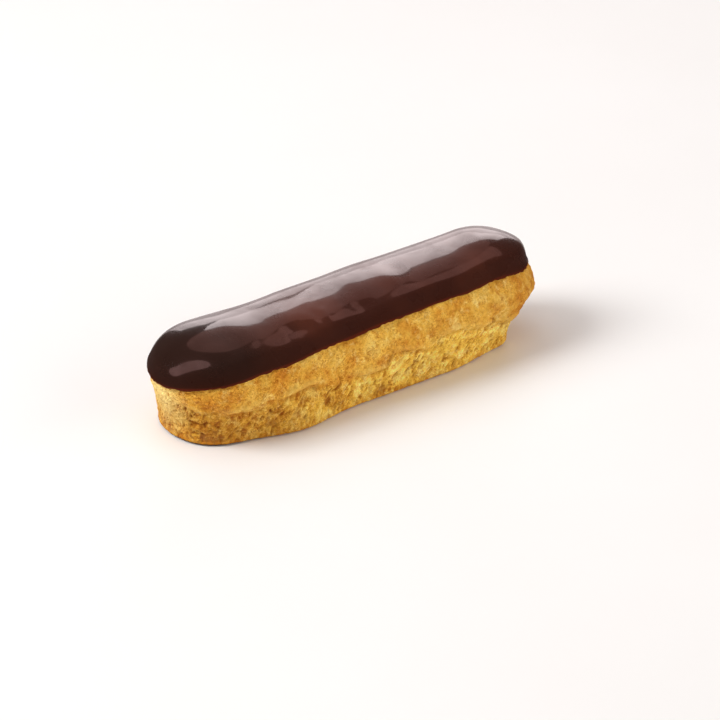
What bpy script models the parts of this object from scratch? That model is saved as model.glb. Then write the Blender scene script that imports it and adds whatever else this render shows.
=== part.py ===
"""A chocolate eclair: a baked choux shell with a set chocolate icing over its top.

The eclair lies along X on its flat base, with its crown up (+Z) and the middle of its box over the
origin. Each piece is a flat grid that is wrapped into a closed body. One way along the grid is a
turn round the outline, from 0 to 1: 0 is the -X tip, 0.25 the middle of the -Y side, 0.5 the +X tip
and 0.75 the middle of the +Y side. The other way runs up the profile.
"""

import math

import bmesh
import bpy
from mathutils import Vector

MM = 0.001

# Driving dimensions.
LENGTH = 140.0 * MM  # tip to tip
WIDTH = 39.4 * MM  # across the belly
HEIGHT = 34.2 * MM  # from the base to the crown of the icing

# The icing, and the gap that keeps the two meshes from touching.
ICING_THICKNESS = 0.045 * HEIGHT
ICING_EDGE_THICKNESS = 0.45 * ICING_THICKNESS
ICING_FEATHER = 6.0 * MM  # from the thin edge up to the full thickness
ICING_GAP = 0.3 * MM
ICING_EDGE = {  # heights of the edge
    "near": 0.57 * HEIGHT,
    "near_side": 0.677 * HEIGHT,
    "far_side": 0.787 * HEIGHT,
    "far": 0.713 * HEIGHT,
}
ICING_WANDER = 0.45 * MM

# The shell is swollen round a core line, and its belly is the widest level. The near tip is at -X
# and the far tip at +X.
BELLY_RADIUS = WIDTH / 2
BELLY_HEIGHT = 0.51 * HEIGHT
CORE_HALF = LENGTH / 2 - BELLY_RADIUS - ICING_THICKNESS / 2  # from the middle to each end of the line
CROWN_HEIGHT = HEIGHT - ICING_THICKNESS - ICING_GAP
CROWN_DROP = 0.065 * HEIGHT  # how much lower the crown is over the near end than over the far end
BOW = 0.048 * WIDTH  # how far the middle of the body bows towards -Y
DOME_POWER = 2.08  # 2 is an ellipse, more is squarer

# The lower crust draws in from the belly to the foot, more under the far tip than elsewhere.
FOOT_ROUNDING = 0.03 * HEIGHT
FOOT_INSET = {
    "near": 0.07 * WIDTH,
    "near_side": 0.05 * WIDTH,
    "far_side": 0.11 * WIDTH,
    "far": 0.275 * WIDTH,
}
FOOT_HUMPS = {  # where the foot draws in further, or less, by the turn
    0.085: 0.060 * WIDTH,
    0.160: -0.065 * WIDTH,
    0.420: 0.055 * WIDTH,
    0.620: 0.030 * WIDTH,
    0.830: -0.025 * WIDTH,
}
FOOT_HUMP_WIDTH = 0.08  # of a turn
FLANK_POWER = 1.2

# The split where the belly swelled out over the lower crust.
CREASE_HEIGHT = 0.37 * HEIGHT
CREASE_WANDER = 1.8 * MM
CREASE_SCALLOP = 0.5 * MM
CREASE_DROP = 3.5 * MM  # at the +X tip
CREASE_DEPTH = 0.5 * MM
LIP_DROP = 1.1 * MM  # how far the lip of the lower crust lies under the crease
LIP_REACH = 0.35 * MM
OVERHANG_RISE = 1.3 * MM

# Unevenness of the outline.
SWELL = 0.28 * MM
CROWN_SWELL = 0.35 * MM
CROWN_SWELL_LENGTH = 17.0 * MM  # along the core line, for each radian of the swell

# Mesh density.
COLUMNS = 100
DOME_RINGS = 10
ICING_RINGS = 11
MERGE_DISTANCE = 0.002 * MM
SHARP_ANGLE = math.radians(50)


def wave(turn, count, peak):
    """A cosine that fits count times round the outline and has a crest at peak."""
    return math.cos(math.tau * count * (turn - peak))


def bell(turn, centre, width):
    """A smooth hump, 1 at centre and 0 from a width away, that wraps at a full turn."""
    away = abs((turn - centre + 0.5) % 1.0 - 0.5) / width
    return 0.5 + 0.5 * math.cos(math.pi * away) if away < 1.0 else 0.0


def ease(amount):
    """A smooth step from 0 to 1."""
    amount = min(max(amount, 0.0), 1.0)
    return amount * amount * (3.0 - 2.0 * amount)


def outline(turn):
    """A column's point on the core line, and the direction out from it, evenly spaced along the belly."""
    turn %= 1.0
    side = -1.0 if turn < 0.5 else 1.0
    quarter = math.pi * BELLY_RADIUS / 2
    along = min(turn, 1.0 - turn) * (4 * quarter + 4 * CORE_HALF)
    if along < quarter:
        angle = along / BELLY_RADIUS
        return -CORE_HALF, -math.cos(angle), side * math.sin(angle)
    if along < quarter + 2 * CORE_HALF:
        return along - quarter - CORE_HALF, 0.0, side
    angle = (along - quarter - 2 * CORE_HALF) / BELLY_RADIUS
    return CORE_HALF, math.sin(angle), side * math.cos(angle)


def by_side(values, turn):
    """Blend a dimension between its values at both tips and at both ends of the sides."""
    core, out_x, out_y = outline(turn)
    along = 0.5 + 0.5 * core / CORE_HALF
    side = values["near_side"] + (values["far_side"] - values["near_side"]) * along
    tip = values["near"] if out_x < 0 else values["far"]
    return side * out_y**2 + tip * out_x**2


def belly_reach(turn):
    """How far the belly reaches from the core line."""
    return BELLY_RADIUS + SWELL * (wave(turn, 5, 0.31) + 0.6 * wave(turn, 11, 0.07))


def crown_height(core):
    """The shell's height over the core line, which rises towards the far end in slight swells."""
    drop = CROWN_DROP * (0.5 - 0.5 * core / CORE_HALF)
    swell = CROWN_SWELL * (math.sin(core / CROWN_SWELL_LENGTH) - 1.0) / 2
    return CROWN_HEIGHT - drop + swell


def crease_height(turn):
    """The height of the split, which wanders round the outline and drops at the +X tip."""
    wander = CREASE_WANDER * wave(turn, 6, 0.167) + CREASE_SCALLOP * wave(turn, 23, 0.02)
    return CREASE_HEIGHT + wander - CREASE_DROP * bell(turn, 0.5, 0.12)


def flank_inset(turn, height):
    """How far the lower crust stands in from the belly at a height."""
    humps = sum(depth * bell(turn, centre, FOOT_HUMP_WIDTH) for centre, depth in FOOT_HUMPS.items())
    foot = by_side(FOOT_INSET, turn) + humps
    return foot * math.cos(0.5 * math.pi * min(height / BELLY_HEIGHT, 1.0)) ** FLANK_POWER


def flank_rings(turn):
    """The lower crust of a column, from the base up to the belly, as pairs of height and inset."""
    crease = crease_height(turn)
    lip = crease - LIP_DROP
    skirt = 0.5 * (FOOT_ROUNDING + lip)
    overhang = crease + OVERHANG_RISE
    cheek = 0.5 * (overhang + BELLY_HEIGHT)
    return [
        (0.0, flank_inset(turn, 0.0) + FOOT_ROUNDING),
        (FOOT_ROUNDING, flank_inset(turn, FOOT_ROUNDING)),
        (skirt, flank_inset(turn, skirt)),
        (lip, flank_inset(turn, lip) - LIP_REACH),
        (crease, flank_inset(turn, crease) + CREASE_DEPTH),
        (overhang, flank_inset(turn, overhang)),
        (cheek, flank_inset(turn, cheek)),
    ]


def dome_point(turn, lift):
    """A point of the shell's dome. The lift runs from 0 at the belly to a quarter turn at the crown."""
    core, out_x, out_y = outline(turn)
    reach = belly_reach(turn) * max(math.cos(lift), 0.0) ** (2 / DOME_POWER)
    rise = (crown_height(core) - BELLY_HEIGHT) * math.sin(lift) ** (2 / DOME_POWER)
    return Vector((core + reach * out_x, reach * out_y, BELLY_HEIGHT + rise))


def dome_normal(turn, lift):
    """The direction straight out of the dome, from its profile alone."""
    core, out_x, out_y = outline(turn)
    power = 2 - 2 / DOME_POWER
    across = (crown_height(core) - BELLY_HEIGHT) * max(math.cos(lift), 0.0) ** power
    upward = belly_reach(turn) * math.sin(lift) ** power
    return Vector((across * out_x, across * out_y, upward)).normalized()


def shell_point(turn, level):
    """A point of the choux shell, from the edge of its base (level 0) up to its crown (level 1)."""
    core, out_x, out_y = outline(turn)
    flank = flank_rings(turn)
    ring = round(level * (len(flank) + DOME_RINGS))
    if ring < len(flank):
        height, inset = flank[ring]
        reach = belly_reach(turn) - inset
        return Vector((core + reach * out_x, reach * out_y, height))
    return dome_point(turn, 0.5 * math.pi * (ring - len(flank)) / DOME_RINGS)


def icing_edge_height(turn):
    """The height of the icing's edge, which hangs lowest over the near tip."""
    wander = ICING_WANDER * (wave(turn, 3, 0.275) + 0.3 * wave(turn, 14, 0.11))
    return by_side(ICING_EDGE, turn) + wander


def icing_point(turn, level):
    """A point of the icing: up its outer face from the edge to the crown (level 1), then, from
    the edge in, its underside, which is level -1 at the crown."""
    core, _, _ = outline(turn)
    edge = (icing_edge_height(turn) - BELLY_HEIGHT) / (crown_height(core) - BELLY_HEIGHT)
    start = math.asin(edge ** (DOME_POWER / 2))
    lift = start + (0.5 * math.pi - start) * abs(level)
    foot = dome_point(turn, lift)
    if level < 0:
        return foot + ICING_GAP * dome_normal(turn, lift)
    grown = ease((foot - dome_point(turn, start)).length / ICING_FEATHER)
    thickness = ICING_EDGE_THICKNESS + (ICING_THICKNESS - ICING_EDGE_THICKNESS) * grown
    return foot + (ICING_GAP + thickness) * dome_normal(turn, lift)


def bowed(point):
    """Bend a point with the body, whose middle stands towards -Y."""
    point.y -= BOW * (1.0 - (2 * point.x / LENGTH) ** 2)
    return point


def wrapped_body(name, rings, place):
    """A closed body from a flat grid. place(turn, level) gives each point, and an open foot is filled."""
    body = bmesh.new()
    bmesh.ops.create_grid(body, x_segments=COLUMNS, y_segments=rings, size=0.5)
    for vertex in body.verts:
        vertex.co = bowed(place(vertex.co.x + 0.5, vertex.co.y + 0.5))
    bmesh.ops.remove_doubles(body, verts=body.verts, dist=MERGE_DISTANCE)
    open_edges = [edge for edge in body.edges if edge.is_boundary]
    if open_edges:
        bmesh.ops.edgeloop_fill(body, edges=open_edges)
    bmesh.ops.recalc_face_normals(body, faces=body.faces)
    mesh = bpy.data.meshes.new(name)
    body.to_mesh(mesh)
    body.free()
    mesh.shade_smooth()
    mesh.set_sharp_from_angle(angle=SHARP_ANGLE)
    piece = bpy.data.objects.new(name, mesh)
    bpy.context.scene.collection.objects.link(piece)
    return piece


def finish(name, colour, roughness):
    """A plain food surface."""
    material = bpy.data.materials.new(name)
    material.use_nodes = True
    shader = material.node_tree.nodes["Principled BSDF"]
    shader.inputs["Base Color"].default_value = (*colour, 1.0)
    shader.inputs["Roughness"].default_value = roughness
    shader.inputs["Metallic"].default_value = 0.0
    return material


def choux_shell():
    """The baked shell: a flat base, a flaring lower crust, a wandering split, and a domed top."""
    flank_count = len(flank_rings(0.0))
    piece = wrapped_body("choux_shell", flank_count + DOME_RINGS, shell_point)
    piece.data.materials.append(finish("choux", (0.58, 0.30, 0.055), 0.75))
    return piece


def chocolate_icing():
    """The icing: a thin set layer over the shell's dome, thinner towards its edge."""
    piece = wrapped_body(
        "chocolate_icing", 2 * ICING_RINGS, lambda turn, level: icing_point(turn, 2 * level - 1)
    )
    piece.data.materials.append(finish("chocolate", (0.035, 0.015, 0.011), 0.2))
    return piece


def centre_over_origin(pieces):
    """Move the pieces together so that the middle of their box is over the origin."""
    points = [vertex.co for piece in pieces for vertex in piece.data.vertices]
    for axis in (0, 1):
        middle = (min(point[axis] for point in points) + max(point[axis] for point in points)) / 2
        for point in points:
            point[axis] -= middle


def main():
    for old in list(bpy.data.objects):
        bpy.data.objects.remove(old)
    centre_over_origin([choux_shell(), chocolate_icing()])


main()
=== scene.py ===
"""A chocolate eclair: browned choux crust with a split round its flank, under glossy dark icing."""

import math

import bmesh
import bpy
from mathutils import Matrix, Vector, noise

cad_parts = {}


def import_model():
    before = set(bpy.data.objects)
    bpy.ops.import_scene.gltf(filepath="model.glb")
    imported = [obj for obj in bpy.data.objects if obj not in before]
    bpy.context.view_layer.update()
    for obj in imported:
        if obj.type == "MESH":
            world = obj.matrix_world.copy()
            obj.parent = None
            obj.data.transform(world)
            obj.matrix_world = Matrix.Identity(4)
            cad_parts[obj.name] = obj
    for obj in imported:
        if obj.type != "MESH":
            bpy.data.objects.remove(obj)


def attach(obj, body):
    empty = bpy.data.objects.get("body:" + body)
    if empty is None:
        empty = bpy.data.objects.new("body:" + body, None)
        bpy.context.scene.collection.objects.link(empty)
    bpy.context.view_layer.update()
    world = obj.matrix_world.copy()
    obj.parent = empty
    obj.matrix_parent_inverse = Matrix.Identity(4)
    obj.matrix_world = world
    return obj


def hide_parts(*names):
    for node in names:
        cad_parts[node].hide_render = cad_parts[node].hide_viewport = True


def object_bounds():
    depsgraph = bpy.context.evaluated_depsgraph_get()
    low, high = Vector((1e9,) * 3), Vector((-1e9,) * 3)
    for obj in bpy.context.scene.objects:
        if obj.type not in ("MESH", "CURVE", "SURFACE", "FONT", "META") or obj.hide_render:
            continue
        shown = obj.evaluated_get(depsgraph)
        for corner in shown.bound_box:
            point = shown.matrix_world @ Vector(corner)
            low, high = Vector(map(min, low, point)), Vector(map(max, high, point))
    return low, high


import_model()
cad_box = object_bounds()
MM = 0.001

# ---------------------------------------------------------------------------------------------
# Sizes, from the frame. The near tip is at -X and the far tip at +X.
# ---------------------------------------------------------------------------------------------
BOX_LOW, BOX_HIGH = (Vector(corner) for corner in cad_box)
BOX_SIZE = BOX_HIGH - BOX_LOW
LENGTH = BOX_SIZE.x
WIDTH = 0.963 * BOX_SIZE.y  # the box also takes in the bow of the body
HEIGHT = BOX_SIZE.z

ICING_THICKNESS = 0.045 * HEIGHT
ICING_GAP = 0.3 * MM  # what the frame's solids leave between them, and the icing fills
BELLY_RADIUS = WIDTH / 2
BELLY_HEIGHT = 0.51 * HEIGHT
CORE_HALF = LENGTH / 2 - BELLY_RADIUS - ICING_THICKNESS / 2
CROWN_HEIGHT = HEIGHT - ICING_THICKNESS
CROWN_DROP = 0.065 * HEIGHT  # how much lower the crown is over the near end than over the far end
BOW = 0.048 * WIDTH  # how far the middle of the body bows towards -Y
FORM_SHIFT_Y = 0.82 * BOW  # centres the bowed form in the frame's box again
DOME_POWER = 2.08  # 2 is an ellipse, more is squarer
FLANK_POWER = 1.2
FOOT_INSET = {
    "near": 0.07 * WIDTH,
    "near_side": 0.05 * WIDTH,
    "far_side": 0.11 * WIDTH,
    "far": 0.275 * WIDTH,
}
FOOT_HUMPS = {  # by turn: how much more, or less, the foot draws in there
    0.085: 0.060 * WIDTH,
    0.160: -0.065 * WIDTH,
    0.420: 0.055 * WIDTH,
    0.620: 0.030 * WIDTH,
    0.830: -0.025 * WIDTH,
}
FOOT_HUMP_WIDTH = 0.08
ICING_EDGE = {  # heights of the edge
    "near": 0.57 * HEIGHT,
    "near_side": 0.677 * HEIGHT,
    "far_side": 0.787 * HEIGHT,
    "far": 0.713 * HEIGHT,
}

# The lower edge of the swollen crust along the -Y side, by its rises and dips: the turn, from the near
# tip (0) to the far tip (a half), and the height in millimetres.
SPLIT = (
    (0.000, 13.5), (0.030, 14.5), (0.045, 12.5), (0.060, 14.0), (0.075, 12.5), (0.105, 12.0),
    (0.140, 13.5), (0.165, 14.5), (0.200, 12.0), (0.255, 11.0), (0.265, 16.5), (0.290, 14.5),
    (0.305, 12.5), (0.320, 16.5), (0.340, 16.5), (0.375, 13.0), (0.430, 9.0), (0.500, 8.5),
)


# ---------------------------------------------------------------------------------------------
# Small helpers
# ---------------------------------------------------------------------------------------------
def wave(turn, count, peak):
    """A cosine with a number of peaks in a full turn, one of them at the given turn."""
    return math.cos(math.tau * count * (turn - peak))


def bell(turn, centre, width):
    """A smooth rise to 1 at a turn, and 0 beyond a width of it."""
    away = abs((turn - centre + 0.5) % 1.0 - 0.5) / width
    return 0.5 + 0.5 * math.cos(math.pi * away) if away < 1.0 else 0.0


def hump(value, centre, width):
    """A bell that is 1 at its centre and dies away over a width or two."""
    return math.exp(-(((value - centre) / width) ** 2))


def ease(amount):
    """An amount held between 0 and 1, with a soft start and end."""
    amount = min(max(amount, 0.0), 1.0)
    return amount * amount * (3.0 - 2.0 * amount)


def mix(low, high, amount):
    """The value an amount of the way from low to high."""
    return low + (high - low) * amount


def grain(point, size, stretch=1.0, seed=0.0):
    """Noise from -1 to 1 with features of a size in metres, longer along X by the stretch."""
    scaled = Vector((point.x / (size * stretch), point.y / size, point.z / size))
    return noise.noise(scaled + seed * Vector((1.0, -2.3, 1.7)))


# ---------------------------------------------------------------------------------------------
# The form: the same swollen body as the frame's solids
# ---------------------------------------------------------------------------------------------
def outline(turn):
    """A column's point on the core line and the direction out from it."""
    turn %= 1.0
    side = -1.0 if turn < 0.5 else 1.0
    quarter = math.pi * BELLY_RADIUS / 2
    along = min(turn, 1.0 - turn) * (4 * quarter + 4 * CORE_HALF)
    if along < quarter:
        angle = along / BELLY_RADIUS
        return -CORE_HALF, -math.cos(angle), side * math.sin(angle)
    if along < quarter + 2 * CORE_HALF:
        return along - quarter - CORE_HALF, 0.0, side
    angle = (along - quarter - 2 * CORE_HALF) / BELLY_RADIUS
    return CORE_HALF, math.sin(angle), side * math.cos(angle)


def by_side(values, turn):
    """A value given for both tips and both ends of the sides, blended along the outline."""
    core, out_x, out_y = outline(turn)
    side = mix(values["near_side"], values["far_side"], 0.5 + 0.5 * core / CORE_HALF)
    tip = values["near"] if out_x < 0 else values["far"]
    return side * out_y**2 + tip * out_x**2


def belly_reach(turn):
    return BELLY_RADIUS + 0.28 * MM * (wave(turn, 5, 0.31) + 0.6 * wave(turn, 11, 0.07))


def crown_height(core):
    drop = CROWN_DROP * (0.5 - 0.5 * core / CORE_HALF)
    return CROWN_HEIGHT - drop + 0.175 * MM * (math.sin(core / (17 * MM)) - 1.0)


def foot_inset(turn):
    humps = sum(depth * bell(turn, centre, FOOT_HUMP_WIDTH) for centre, depth in FOOT_HUMPS.items())
    return by_side(FOOT_INSET, turn) + humps


def split_height(turn):
    """The wandering lower edge of the swollen crust."""
    turn %= 1.0
    if turn > 0.5:
        along = 2.0 * (1.0 - turn)
        sway = 1.5 * math.sin(14.0 * along) + 0.8 * math.sin(31.0 * along + 1.0)
        return (mix(SPLIT[0][1], SPLIT[-1][1], ease(along)) + sway * math.sin(math.pi * along)) * MM
    for (start, low), (end, high) in zip(SPLIT, SPLIT[1:]):
        if turn <= end:
            break
    return mix(low, high, ease((turn - start) / (end - start))) * MM


def icing_edge_height(turn):
    return by_side(ICING_EDGE, turn) + 0.45 * MM * (wave(turn, 3, 0.275) + 0.3 * wave(turn, 14, 0.11))


def icing_tooth(turn):
    """The small unevenness of the icing's edge, where it stopped against the grainy crust."""
    core, out_x, out_y = outline(turn)
    along = Vector((core + BELLY_RADIUS * out_x, BELLY_RADIUS * out_y, 0.0))
    ragged = 0.30 * ease(0.4 + 1.8 * grain(along, 8 * MM, seed=65.0)) * grain(along, 1.3 * MM, seed=61.0)
    return MM * (ragged + 0.30 * grain(along, 4.5 * MM, seed=63.0))


def flank_point(turn, height):
    """A point of the smooth lower crust, and the direction out of it."""
    core, out_x, out_y = outline(turn)
    share = min(height / BELLY_HEIGHT, 1.0)
    reach = belly_reach(turn) - foot_inset(turn) * math.cos(0.5 * math.pi * share) ** FLANK_POWER
    return Vector((core + reach * out_x, reach * out_y, height)), Vector((out_x, out_y, 0.0))


def dome_point(turn, lift):
    """A point of the smooth dome, from the belly (0) to the crown (a quarter turn), and its normal."""
    core, out_x, out_y = outline(turn)
    cos, sin = max(math.cos(lift), 0.0), math.sin(lift)
    reach = belly_reach(turn) * cos ** (2 / DOME_POWER)
    rise = crown_height(core) - BELLY_HEIGHT
    point = Vector((core + reach * out_x, reach * out_y, BELLY_HEIGHT + rise * sin ** (2 / DOME_POWER)))
    power = 2 - 2 / DOME_POWER
    across, upward = rise * cos**power, belly_reach(turn) * sin**power
    return point, Vector((across * out_x, across * out_y, upward)).normalized()


def edge_lift(turn, height):
    """The lift at which the dome reaches a height."""
    core = outline(turn)[0]
    share = max(height - BELLY_HEIGHT, 0.0) / (crown_height(core) - BELLY_HEIGHT)
    return math.asin(min(share, 1.0) ** (DOME_POWER / 2))


def bowed(point):
    """The point carried sideways by the bow of the body."""
    point.y -= BOW * (1.0 - (2 * point.x / LENGTH) ** 2)
    return point


# ---------------------------------------------------------------------------------------------
# Pieces: a flat grid is wrapped round the form, a column for each turn and a ring for each height
# ---------------------------------------------------------------------------------------------
COLUMNS = 900
SEAM = 0.002 * MM  # vertices nearer than this meet


def flat_grid(rings, layer_names):
    """A grid a unit wide and high round the origin, and a layer of its vertices for each name."""
    body = bmesh.new()
    bmesh.ops.create_grid(body, x_segments=COLUMNS, y_segments=rings, size=0.5)
    layers = {name: body.verts.layers.float.new(name) for name in layer_names}
    return body, layers


def grid_place(vertex, rings):
    """The turn and the ring of a vertex of the flat grid."""
    return vertex.co.x + 0.5, round((vertex.co.y + 0.5) * rings)


def as_piece(name, body):
    """A smooth-shaded object from a bmesh, moved so that the form's box lies over the frame's."""
    bmesh.ops.recalc_face_normals(body, faces=body.faces)
    shift = Vector(((BOX_LOW.x + BOX_HIGH.x) / 2, FORM_SHIFT_Y, 0.0))
    bmesh.ops.translate(body, verts=body.verts, vec=shift)
    mesh = bpy.data.meshes.new(name)
    body.to_mesh(mesh)
    body.free()
    mesh.shade_smooth()
    piece = bpy.data.objects.new(name, mesh)
    bpy.context.scene.collection.objects.link(piece)
    return piece


# ---------------------------------------------------------------------------------------------
# The choux crust
# ---------------------------------------------------------------------------------------------
LOWER_RINGS = 34
UPPER_RINGS = 46
HIDDEN_RINGS = 8
CRUST_RINGS = LOWER_RINGS + UPPER_RINGS + HIDDEN_RINGS
FOOT_TUCK = 0.9 * MM  # how far the base is rounded in
ICING_OVERLAP = 1.2 * MM  # how far the finely meshed crust goes on above the icing's edge
ICING_BED = 0.15 * MM  # how far the crust is pressed in under the icing
# Curled tears in the crust: place along, side, height and radius in millimetres, and the direction in
# degrees that they open to.
TEARS = (
    (14.5, -1, 10.8, 2.3, 10.0),
    (-17.5, -1, 12.0, 2.6, 150.0),
    (-39.0, -1, 10.0, 2.0, 60.0),
    (43.0, -1, 13.5, 1.9, 200.0),
    (-62.0, -1, 9.0, 2.0, 100.0),
    (28.0, 1, 12.0, 2.4, 20.0),
    (-8.0, 1, 10.5, 2.2, 170.0),
    (-44.0, 1, 12.5, 2.1, 80.0),
)


def crust_place(turn, ring):
    """The smooth point, its outward direction, its height and the split's height, for one ring."""
    split = split_height(turn)
    top = icing_edge_height(turn) + ICING_OVERLAP
    if ring <= LOWER_RINGS:
        height = split * (ring / LOWER_RINGS)
        return (*flank_point(turn, height), height, split)
    if ring <= LOWER_RINGS + UPPER_RINGS:
        height = mix(split, top, (ring - LOWER_RINGS) / UPPER_RINGS)
        if height < BELLY_HEIGHT:
            return (*flank_point(turn, height), height, split)
        return (*dome_point(turn, edge_lift(turn, height)), height, split)
    start = edge_lift(turn, top)
    share = (ring - LOWER_RINGS - UPPER_RINGS) / HIDDEN_RINGS
    point, out = dome_point(turn, mix(start, 0.5 * math.pi, share))
    return point, out, point.z, split


def pits(point, size, seed, radius):
    """How deep into a pit a point is, from 0 outside to 1, for pits scattered at a spacing."""
    near, _ = noise.voronoi(point / size + Vector((seed, seed * 0.7, -seed)))
    return ease(1.0 - near[0] / radius)


def blisters(point, size, seed):
    """Rounded grains that meet in narrow grooves, from 0 in a groove to 1 on a grain."""
    near, _ = noise.voronoi(point / size + Vector((seed, -seed, seed * 0.4)))
    return ease((near[1] - near[0]) * 1.6)


def ridges(point, size, seed):
    """Sharp-backed ridges of a size, from about -1 between them to 1 on a ridge."""
    return 1.0 - 4.0 * abs(grain(point, size, seed=seed))


def tear_depth(point, height):
    """How deep a point lies in one of the curled tears near the split, from 0 to 1."""
    depth = 0.0
    for along, side, rise, radius, opening in TEARS:
        if point.y * side < 0.0:
            continue
        across = Vector((point.x / MM - along, height / MM - rise))
        turned = math.cos(math.atan2(across.y, across.x) - math.radians(opening))
        depth += hump(across.length, radius + 0.5 * turned, 0.42) * ease(0.45 - turned)
    return min(depth, 1.0)


def upper_grain(warped, fine, rough):
    """The swollen crust's surface in millimetres: fine grain, blisters and scattered pores."""
    pores = 0.34 * pits(warped, 1.7 * MM, 4.0, 0.34) * rough
    return fine + 0.16 * blisters(warped, 1.5 * MM, 2.2) - pores


def lower_grain(point, warped, fine, rough):
    """The stretched crust under the split: leaning wrinkles, and slits deeper near the near tip."""
    lean = Vector((warped.x - 0.45 * point.z, warped.y - 0.2 * point.z, 0.36 * point.z))
    wrinkles = 0.22 * ridges(lean, 1.1 * MM, 6.6) + 0.15 * ridges(lean, 2.6 * MM, 2.7)
    slits = 0.95 * pits(lean, 3.4 * MM, 9.0, 0.27) + 0.55 * pits(lean, 1.6 * MM, 19.0, 0.26) * rough
    depth = mix(0.8, 0.5, ease(0.5 + point.x / LENGTH))
    return 0.7 * fine + wrinkles - depth * slits - 0.1


def crust_relief(point, height, split):
    """How far the crust stands out in millimetres, the fine part of that, and the split's lip."""
    above = height - split
    upper = ease(0.5 + above / (2.4 * MM) + 0.7 * grain(point, 2.5 * MM, seed=40.0))
    sway = Vector((grain(point, 2.0 * MM, seed=51.0), grain(point, 2.0 * MM, seed=54.0), 0.0))
    warped = point + 0.5 * MM * sway
    fine = 0.20 * grain(point, 1.5 * MM, seed=5.5) + 0.24 * grain(point, 0.8 * MM, seed=1.9)
    rough = ease(0.55 + 1.3 * grain(point, 7 * MM, seed=12.0))
    grains = mix(lower_grain(point, warped, fine, rough), upper_grain(warped, fine, rough), upper)
    lumps = 0.8 * grain(point, 9 * MM, seed=3.1) + 0.35 * grain(point, 4 * MM, seed=8.2) - 0.25
    relief = mix(0.6, 1.0, upper) * lumps + grains
    near_tip = hump(point.x, -LENGTH / 2, 7 * MM)
    strength = ease(0.65 + 1.2 * grain(point, 12 * MM, seed=21.0)) * (1.0 - near_tip)
    lip = strength * (hump(above, 1.1 * MM, 1.2 * MM) - hump(above, -0.8 * MM, 0.8 * MM))
    tear = tear_depth(warped, height)
    relief += 0.75 * lip - 0.8 * tear
    # grains also drives the crust's colour: lowering it in the tears paints shade into them.
    grains -= 0.55 * tear
    rim = hump(height, 0.7 * MM, 0.9 * MM)
    inset = mix(2.1, 1.3, min(height / BELLY_HEIGHT, 1.0)) * near_tip
    return relief * (1.0 - 0.8 * rim) + 0.25 * rim - inset, grains, lip


def crust():
    """The whole pastry: lower crust, split, swollen upper crust and the bed of the icing."""
    body, layers = flat_grid(CRUST_RINGS, ("grains", "above", "height", "lip"))
    for vertex in body.verts:
        turn, ring = grid_place(vertex, CRUST_RINGS)
        point, out, height, split = crust_place(turn, ring)
        relief, grains, lip = crust_relief(point, height, split)
        icing_edge = icing_edge_height(turn) + icing_tooth(turn)
        covered = ease((height - icing_edge + 0.4 * MM) / (0.7 * MM))
        relief = mix(relief * MM, -ICING_BED, covered)
        tuck = max(1.0 - height / FOOT_TUCK, 0.0)
        vertex.co = bowed(point + (relief - FOOT_TUCK * tuck**2) * out)
        if ring == 0:
            vertex.co.z = 0.0
        vertex[layers["grains"]] = grains
        vertex[layers["above"]] = (height - split) / MM
        vertex[layers["height"]] = height / MM
        vertex[layers["lip"]] = lip
    bmesh.ops.remove_doubles(body, verts=body.verts, dist=SEAM)
    bmesh.ops.edgeloop_fill(body, edges=[edge for edge in body.edges if edge.is_boundary])
    return as_piece("choux_crust", body)


# ---------------------------------------------------------------------------------------------
# The icing
# ---------------------------------------------------------------------------------------------
FACE_RINGS = 60
LIP_RINGS = 6
UNDER_RINGS = 14
ICING_RINGS = FACE_RINGS + LIP_RINGS + UNDER_RINGS
LIP_THICKNESS = 0.5 * MM  # at the icing's rounded edge
ICING_LIFT = 0.03 * MM  # how far the icing's inner face stands off the smooth form
ICING_FEATHER = 6.0 * MM  # from the thin edge up to the full thickness
SWELL_FEATHER = 5.0 * MM  # from the edge up to the full height of the swells
SWIRL_PLACE = Vector((-14 * MM, -10 * MM))  # where the swirls lie, along and across
SWIRL_REACH = Vector((24 * MM, 5 * MM))
# Dents and swells left by the pour: their place, reach along and across, and rise, in millimetres.
ICING_MARKS = (
    (-50.0, 1.0, 12.0, 6.0, 0.45),
    (-28.0, -11.5, 5.5, 3.2, -0.55),
    (-2.0, -11.5, 5.0, 3.4, -0.42),
    (13.0, -5.0, 5.0, 5.0, 0.50),
    (50.0, -4.0, 10.0, 6.0, 0.70),
    (66.0, -6.0, 12.0, 12.0, 0.70),
)


def icing_swell(point):
    """The gentle swells that the icing set in, with swirls where it was laid down."""
    swells = 0.55 * grain(point, 17 * MM, 1.3, seed=31.0) + 0.10 * grain(point, 8 * MM, seed=14.0)
    drift = Vector((grain(point, 9 * MM, seed=82.0), grain(point, 9 * MM, seed=85.0), 0.0))
    swirls = 0.22 * grain(point + 5 * MM * drift, 6 * MM, seed=91.0)
    for value, centre, reach in zip(point, SWIRL_PLACE, SWIRL_REACH):
        swirls *= hump(value, centre, reach)
    poured = point + 1.6 * MM * drift
    for along, across, reach_along, reach_across, rise in ICING_MARKS:
        mark = rise * hump(poured.x, along * MM, reach_along * MM)
        swells += mark * hump(poured.y, across * MM, reach_across * MM)
    return MM * (swells + swirls)


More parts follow.
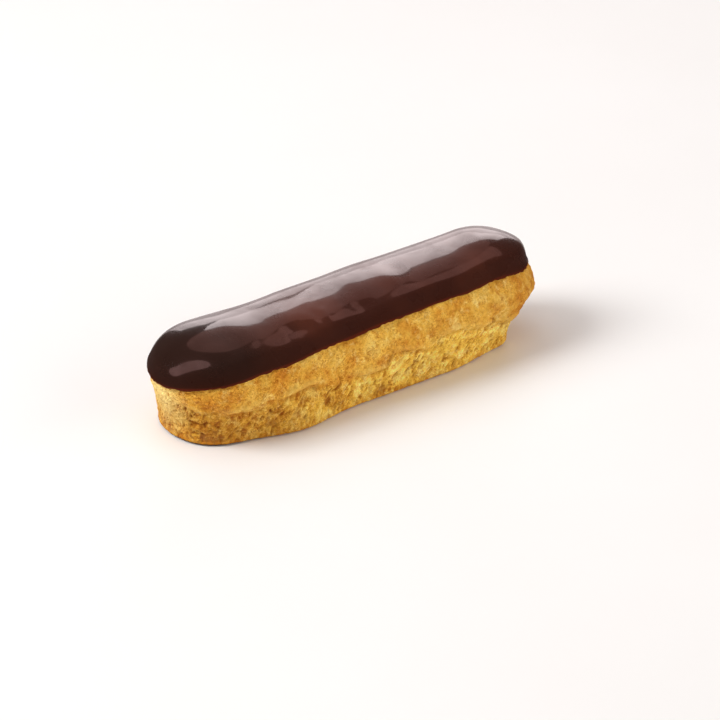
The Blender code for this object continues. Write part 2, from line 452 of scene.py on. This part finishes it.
def icing_place(turn, ring):
    """A point of the icing, and how far up from its edge it is, in metres."""
    start = edge_lift(turn, icing_edge_height(turn))
    toothed = edge_lift(turn, icing_edge_height(turn) + icing_tooth(turn))
    edge = dome_point(turn, start)[0]
    if ring < UNDER_RINGS:
        lift = mix(0.5 * math.pi, toothed, ring / UNDER_RINGS)
        point, out = dome_point(turn, lift)
        return point + ICING_LIFT * out, (point - edge).length
    if ring <= UNDER_RINGS + LIP_RINGS:
        point, out = dome_point(turn, toothed)
        angle = math.pi * (ring - UNDER_RINGS) / LIP_RINGS
        down = Vector((0.0, 0.0, -1.0))
        down = (down - out * down.dot(out)).normalized()
        lift = 0.5 * LIP_THICKNESS * (1.0 - math.cos(angle))
        bulge = 0.5 * LIP_THICKNESS * math.sin(angle)
        return point + (ICING_LIFT + lift) * out + bulge * down, 0.0
    share = (ring - UNDER_RINGS - LIP_RINGS) / FACE_RINGS
    lift = mix(start, 0.5 * math.pi, share**1.25) + (toothed - start) * (1.0 - share) ** 12
    point, out = dome_point(turn, lift)
    climb = (point - edge).length if lift > start else 0.0
    thickness = mix(LIP_THICKNESS, ICING_THICKNESS + ICING_GAP, ease(climb / ICING_FEATHER))
    swell = icing_swell(point) * ease(climb / SWELL_FEATHER)
    return point + (ICING_LIFT + thickness + swell) * out, climb


def coat():
    """The closed layer of icing: its inner face, its rounded edge and its glossy outer face."""
    body, layers = flat_grid(ICING_RINGS, ("climb",))
    for vertex in body.verts:
        turn, ring = grid_place(vertex, ICING_RINGS)
        point, climb = icing_place(turn, ring)
        vertex[layers["climb"]] = climb / MM
        vertex.co = bowed(point)
    bmesh.ops.remove_doubles(body, verts=body.verts, dist=SEAM)
    return as_piece("chocolate_coat", body)


# ---------------------------------------------------------------------------------------------
# Materials
# ---------------------------------------------------------------------------------------------
class Nodes:
    """A short way to add nodes to a material and link them."""

    def __init__(self, name):
        self.material = bpy.data.materials.new(name)
        self.material.use_nodes = True
        self.tree = self.material.node_tree
        self.shader = self.tree.nodes["Principled BSDF"]

    def add(self, kind, links=None, **settings):
        node = self.tree.nodes.new(kind)
        for key, value in settings.items():
            if key in node.inputs:
                node.inputs[key].default_value = value
            else:
                setattr(node, key, value)
        for socket, source in (links or {}).items():
            self.tree.links.new(source, node.inputs[socket])
        return node

    def noise(self, vector, scale, detail=4.0, roughness=0.55, distortion=0.0):
        settings = {"Scale": scale, "Detail": detail, "Roughness": roughness, "Distortion": distortion}
        return self.add("ShaderNodeTexNoise", {"Vector": vector}, **settings).outputs["Fac"]

    def ramp(self, source, *stops):
        node = self.add("ShaderNodeValToRGB", {"Fac": source})
        elements = node.color_ramp.elements
        while len(elements) < len(stops):
            elements.new(0.5)
        for element, (position, colour) in zip(elements, stops):
            element.position = position
            element.color = (*colour, 1.0)
        return node.outputs["Color"]

    def blend(self, amount, first, second, blend_type="MIX"):
        node = self.add("ShaderNodeMix", data_type="RGBA", blend_type=blend_type)
        for socket, value in ((0, amount), (6, first), (7, second)):
            if isinstance(value, bpy.types.NodeSocket):
                self.tree.links.new(value, node.inputs[socket])
            elif socket == 0:
                node.inputs[0].default_value = value
            else:
                node.inputs[socket].default_value = (*value, 1.0)
        return node.outputs[2]

    def scaled(self, source, from_low, from_high, to_low=0.0, to_high=1.0):
        limits = {"From Min": from_low, "From Max": from_high, "To Min": to_low, "To Max": to_high}
        return self.add("ShaderNodeMapRange", {"Value": source}, **limits).outputs["Result"]

    def product(self, first, second):
        node = self.add("ShaderNodeMath", operation="MULTIPLY")
        for socket, source in zip(node.inputs, (first, second)):
            self.tree.links.new(source, socket)
        return node.outputs["Value"]

    def split(self, vector, axis):
        return self.add("ShaderNodeSeparateXYZ", {"Vector": vector}).outputs[axis]

    def attribute(self, name):
        return self.add("ShaderNodeAttribute", attribute_name=name).outputs["Fac"]

    def plug(self, source, socket):
        self.tree.links.new(source, self.shader.inputs[socket])

    def set(self, socket, value):
        self.shader.inputs[socket].default_value = value

    def bump(self, height, strength, distance):
        node = self.add("ShaderNodeBump", {"Height": height}, Strength=strength, Distance=distance)
        self.plug(node.outputs["Normal"], "Normal")


TIP_HIGHLIGHT_PLACE = (-LENGTH / 2, 4 * MM, 12 * MM)  # a painted highlight on the near tip, paler where strong light falls from the left


def crust_material():
    """Baked choux: buttery gold with toasted mottling, paler and stretched below the split, with painted
    highlight and shade at the split's lip, in the grooves, on the near tip and along the base.
    """
    build = Nodes("baked_choux")
    place = build.add("ShaderNodeTexCoord").outputs["Object"]
    height = build.attribute("height")
    colour = build.ramp(
        build.noise(place, 115.0, 6.0, 0.68),
        (0.32, (0.86, 0.57, 0.130)),
        (0.47, (0.82, 0.46, 0.066)),
        (0.60, (0.70, 0.31, 0.034)),
        (0.72, (0.52, 0.17, 0.016)),
    )
    stretched = build.ramp(
        build.noise(place, 190.0, 6.0, 0.7),
        (0.40, (0.92, 0.66, 0.160)),
        (0.50, (0.86, 0.52, 0.074)),
        (0.64, (0.62, 0.28, 0.030)),
    )
    below_split = build.scaled(build.attribute("above"), 1.0, -2.0)
    colour = build.blend(below_split, colour, stretched)
    toasted = build.scaled(build.noise(place, 340.0, 5.0, 0.7), 0.52, 0.66, 0.0, 0.75)
    colour = build.blend(toasted, colour, (0.56, 0.205, 0.020))
    butter = build.scaled(build.noise(place, 270.0, 5.0, 0.7, 0.6), 0.54, 0.68, 0.0, 0.75)
    colour = build.blend(butter, colour, (0.95, 0.72, 0.230))
    # Painted highlight: the near tip is made paler and creamier, standing in for strong light from the
    # left.
    away = build.add("ShaderNodeVectorMath", {"Vector": place}, operation="DISTANCE")
    away.inputs[1].default_value = TIP_HIGHLIGHT_PLACE
    tip_highlight = build.scaled(away.outputs["Value"], 14.5 * MM, 5.0 * MM, 0.0, 0.75)
    colour = build.blend(tip_highlight, colour, (1.0, 0.88, 0.40))
    mottle = build.ramp(
        build.noise(place, 1150.0, 5.0, 0.78, 1.4),
        (0.37, (0.58, 0.32, 0.11)),
        (0.50, (1.02, 0.98, 0.93)),
        (0.63, (1.30, 1.42, 1.62)),
    )
    along = build.scaled(build.split(place, "X"), -LENGTH / 2, LENGTH / 2)
    patchy = build.scaled(build.noise(place, 170.0, 3.0), 0.36, 0.56, 0.5, 1.0)
    patchy = build.product(patchy, build.scaled(along, 0.2, 0.8, 1.0, 0.7))
    colour = build.blend(patchy, colour, mottle, "MULTIPLY")
    # Partly the crust's own tone and partly painted shade: darker in the grooves, pores and tears, paler
    # on the grain tops.
    grooves = build.ramp(
        build.scaled(build.attribute("grains"), -0.60, 0.40),
        (0.0, (0.46, 0.24, 0.09)),
        (0.45, (0.95, 0.88, 0.78)),
        (0.8, (1.08, 1.11, 1.15)),
    )
    colour = build.blend(0.85, colour, grooves, "MULTIPLY")
    # Below the split: darker at the near end, lighter towards the far end; partly baked tone, partly
    # painted light where more light falls.
    lower_tone_and_painted_light = build.ramp(
        along,
        (0.15, (0.84, 0.76, 0.70)),
        (0.45, (1.08, 1.13, 1.14)),
        (0.85, (1.18, 1.32, 1.44)),
    )
    colour = build.blend(below_split, colour, lower_tone_and_painted_light, "MULTIPLY")
    # Lighter over the middle and far half and darker at the far tip: partly baked tone, partly painted
    # light and painted shade graded along the length.
    tone_and_painted_light_along = build.ramp(
        along,
        (0.15, (1.0, 0.96, 0.86)),
        (0.50, (1.08, 1.14, 1.22)),
        (0.80, (1.03, 1.06, 1.13)),
        (0.99, (0.73, 0.59, 0.45)),
    )
    colour = build.blend(1.0, colour, tone_and_painted_light_along, "MULTIPLY")
    low = build.product(build.scaled(height, 8.0, 3.0), build.scaled(along, 0.2, 0.7, 1.0, 0.35))
    scorched = build.scaled(build.noise(place, 230.0, 5.0, 0.7, 0.4), 0.50, 0.62, 0.0, 0.85)
    colour = build.blend(build.product(low, scorched), colour, (0.36, 0.125, 0.026))
    # Painted highlight on the ridge over the split, and painted shade in the recess just below it.
    edge = build.attribute("lip")
    colour = build.blend(build.scaled(edge, 0.1, 1.0, 0.0, 0.4), colour, (0.92, 0.62, 0.15))
    colour = build.blend(build.scaled(edge, -0.2, -1.0, 0.0, 0.6), colour, (0.46, 0.19, 0.022))
    streaks = build.scaled(build.noise(place, 520.0, 4.0, 0.75), 0.42, 0.60)
    rim = build.product(build.scaled(height, 2.6, 0.7), streaks)
    colour = build.blend(rim, colour, (0.62, 0.23, 0.018))
    # Partly a burnt underside and partly a painted contact shadow: near-black along the base at the near
    # end.
    near_end = build.scaled(build.split(place, "X"), -40.0 * MM, -56.0 * MM)
    burnt_and_contact_shadow = build.product(near_end, build.scaled(height, 0.9, 0.4, 0.0, 0.95))
    colour = build.blend(burnt_and_contact_shadow, colour, (0.060, 0.020, 0.010))
    build.plug(colour, "Base Color")
    rough = build.scaled(build.noise(place, 420.0, 2.0), 0.3, 0.7, 0.55, 0.85)
    build.plug(rough, "Roughness")
    build.bump(build.noise(place, 2200.0, 5.0, 0.7), 0.9, 0.3 * MM)
    build.set("Specular IOR Level", 0.15)
    return build.material


def icing_material():
    """Set dark chocolate: a clear gloss on the top, and a thin duller fringe at the edge."""
    build = Nodes("dark_icing")
    place = build.add("ShaderNodeTexCoord").outputs["Object"]
    colour = build.ramp(
        build.noise(place, 45.0, 3.0),
        (0.38, (0.041, 0.0110, 0.0070)),
        (0.60, (0.066, 0.0165, 0.0088)),
    )
    near_end = build.scaled(build.split(place, "X"), -0.16 * LENGTH, -0.34 * LENGTH, 0.0, 0.9)
    colour = build.blend(near_end, colour, (0.018, 0.0078, 0.0055))
    climb = build.attribute("climb")
    thinner = build.scaled(climb, 6.0, 1.0, 0.0, 0.5)
    colour = build.blend(thinner, colour, (0.040, 0.0086, 0.0042))
    fringe = build.scaled(climb, 0.65, 0.0, 0.0, 0.85)
    colour = build.blend(fringe, colour, (0.110, 0.0170, 0.0055))
    build.plug(colour, "Base Color")
    rough = build.scaled(build.noise(place, 90.0, 3.0), 0.3, 0.7, 0.24, 0.34)
    build.plug(rough, "Roughness")
    build.bump(build.noise(place, 700.0, 3.0), 0.06, 0.2 * MM)
    build.set("Specular IOR Level", 0.12)
    gloss = build.scaled(climb, 0.1, 3.8, 0.03, 0.95)
    clouds = build.scaled(build.noise(place, 85.0, 4.0, 0.6, 0.8), 0.36, 0.60, 0.62, 1.0)
    build.plug(build.product(gloss, clouds), "Coat Weight")
    build.set("Coat Roughness", 0.08)
    return build.material


def floor_material():
    build = Nodes("pale_floor")
    place = build.add("ShaderNodeTexCoord").outputs["Object"]
    colour = build.ramp(build.noise(place, 6.0), (0.3, (0.88, 0.87, 0.86)), (0.7, (0.90, 0.895, 0.89)))
    build.plug(colour, "Base Color")
    build.set("Roughness", 0.6)
    return build.material


# ---------------------------------------------------------------------------------------------
# Stage
# ---------------------------------------------------------------------------------------------
FLOOR_DROP = 0.05 * MM  # the base and the floor don't share a plane
VIEW_AZIMUTH = math.radians(-35.2)
VIEW_ELEVATION = math.radians(29.0)
VIEW_DISTANCE = 1.307
LENS = 209.8
SENSOR = 36.0
AIM_RIGHT = 4.2 * MM
AIM_UP = 5.3 * MM
LAMP_DISTANCE = 1.6
WINDOW_TINT = (1.0, 0.87, 0.87)
CEILING_TINT = (1.0, 0.47, 0.41)
NOSE_TINT = (1.0, 0.55, 0.52)
WARM = (1.0, 0.96, 0.90)
WHITE = (1.0, 1.0, 1.0)
ROOM_TINT = (1.0, 0.78, 0.70)
ROOM_STRENGTH = 0.07


def camera():
    back = Vector(
        (
            math.sin(VIEW_AZIMUTH) * math.cos(VIEW_ELEVATION),
            -math.cos(VIEW_AZIMUTH) * math.cos(VIEW_ELEVATION),
            math.sin(VIEW_ELEVATION),
        )
    )
    right = Vector((math.cos(VIEW_AZIMUTH), math.sin(VIEW_AZIMUTH), 0.0))
    up = back.cross(right)
    aim = AIM_RIGHT * right + AIM_UP * up
    eye = bpy.data.objects.new("camera", bpy.data.cameras.new("camera"))
    eye.data.lens = LENS
    eye.data.sensor_width = SENSOR
    eye.location = aim + VIEW_DISTANCE * back
    eye.rotation_euler = back.to_track_quat("Z", "Y").to_euler()
    bpy.context.scene.collection.objects.link(eye)
    bpy.context.scene.camera = eye


def softbox(
    name,
    azimuth,
    elevation,
    spread,
    radiance,
    colour=WHITE,
    gloss=True,
    matte=True,
    round_lamp=False,
):
    """A panel lamp in a direction from the eclair, in degrees, that covers a spread of degrees."""
    turn, rise = math.radians(azimuth), math.radians(elevation)
    towards = Vector((math.sin(turn) * math.cos(rise), math.cos(turn) * math.cos(rise), math.sin(rise)))
    light = bpy.data.lights.new(name, "AREA")
    light.shape = "ELLIPSE" if round_lamp else "RECTANGLE"
    light.size, light.size_y = (2 * LAMP_DISTANCE * math.tan(math.radians(angle) / 2) for angle in spread)
    light.energy = radiance * math.pi * light.size * light.size_y
    light.color = colour
    lamp = bpy.data.objects.new(name, light)
    lamp.location = LAMP_DISTANCE * towards
    lamp.rotation_euler = towards.to_track_quat("Z", "Y").to_euler()
    lamp.visible_glossy = gloss
    lamp.visible_diffuse = matte
    bpy.context.scene.collection.objects.link(lamp)


def floor():
    body = bmesh.new()
    bmesh.ops.create_grid(body, x_segments=8, y_segments=8, size=6.0)
    bmesh.ops.translate(body, verts=body.verts, vec=(0.0, 0.0, BOX_LOW.z - FLOOR_DROP))
    mesh = bpy.data.meshes.new("floor")
    body.to_mesh(mesh)
    body.free()
    sheet = bpy.data.objects.new("floor", mesh)
    bpy.context.scene.collection.objects.link(sheet)
    mesh.materials.append(floor_material())
    sheet.visible_glossy = False


def world():
    scene_world = bpy.data.worlds.new("studio")
    bpy.context.scene.world = scene_world
    scene_world.use_nodes = True
    background = scene_world.node_tree.nodes["Background"]
    background.inputs["Color"].default_value = (*ROOM_TINT, 1.0)
    background.inputs["Strength"].default_value = ROOM_STRENGTH


camera()
floor()
world()
softbox("window", 43, 27, (28, 22), 3.4, WINDOW_TINT, matte=False)
softbox("window_foot", 37, 8, (40, 16), 1.9, WINDOW_TINT, matte=False)
softbox("window_low", 37, -10, (44, 20), 0.65, WINDOW_TINT, matte=False)
softbox("ceiling", 30, 56, (38, 36), 0.54, CEILING_TINT, matte=False, round_lamp=True)
softbox("ceiling_front", 80, 57, (16, 14), 0.80, CEILING_TINT, matte=False, round_lamp=True)
softbox("nose_card", -82, 44, (30, 84), 1.5, NOSE_TINT, matte=False, round_lamp=True)
softbox("sun_side", -66, 42, (30, 30), 10.5, gloss=False)
softbox("back_sky", -10, 50, (40, 30), 1.4, gloss=False)
softbox("front_fill", 140, 20, (70, 36), 2.4, WARM, gloss=False)
softbox("top_fill", 0, 89, (50, 50), 0.9, gloss=False)
bpy.context.scene.view_settings.view_transform = "Standard"

pastry = crust()
pastry.data.materials.append(crust_material())
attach(pastry, "root")
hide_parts("choux_shell")

icing = coat()
icing.data.materials.append(icing_material())
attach(icing, "root")
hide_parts("chocolate_icing")
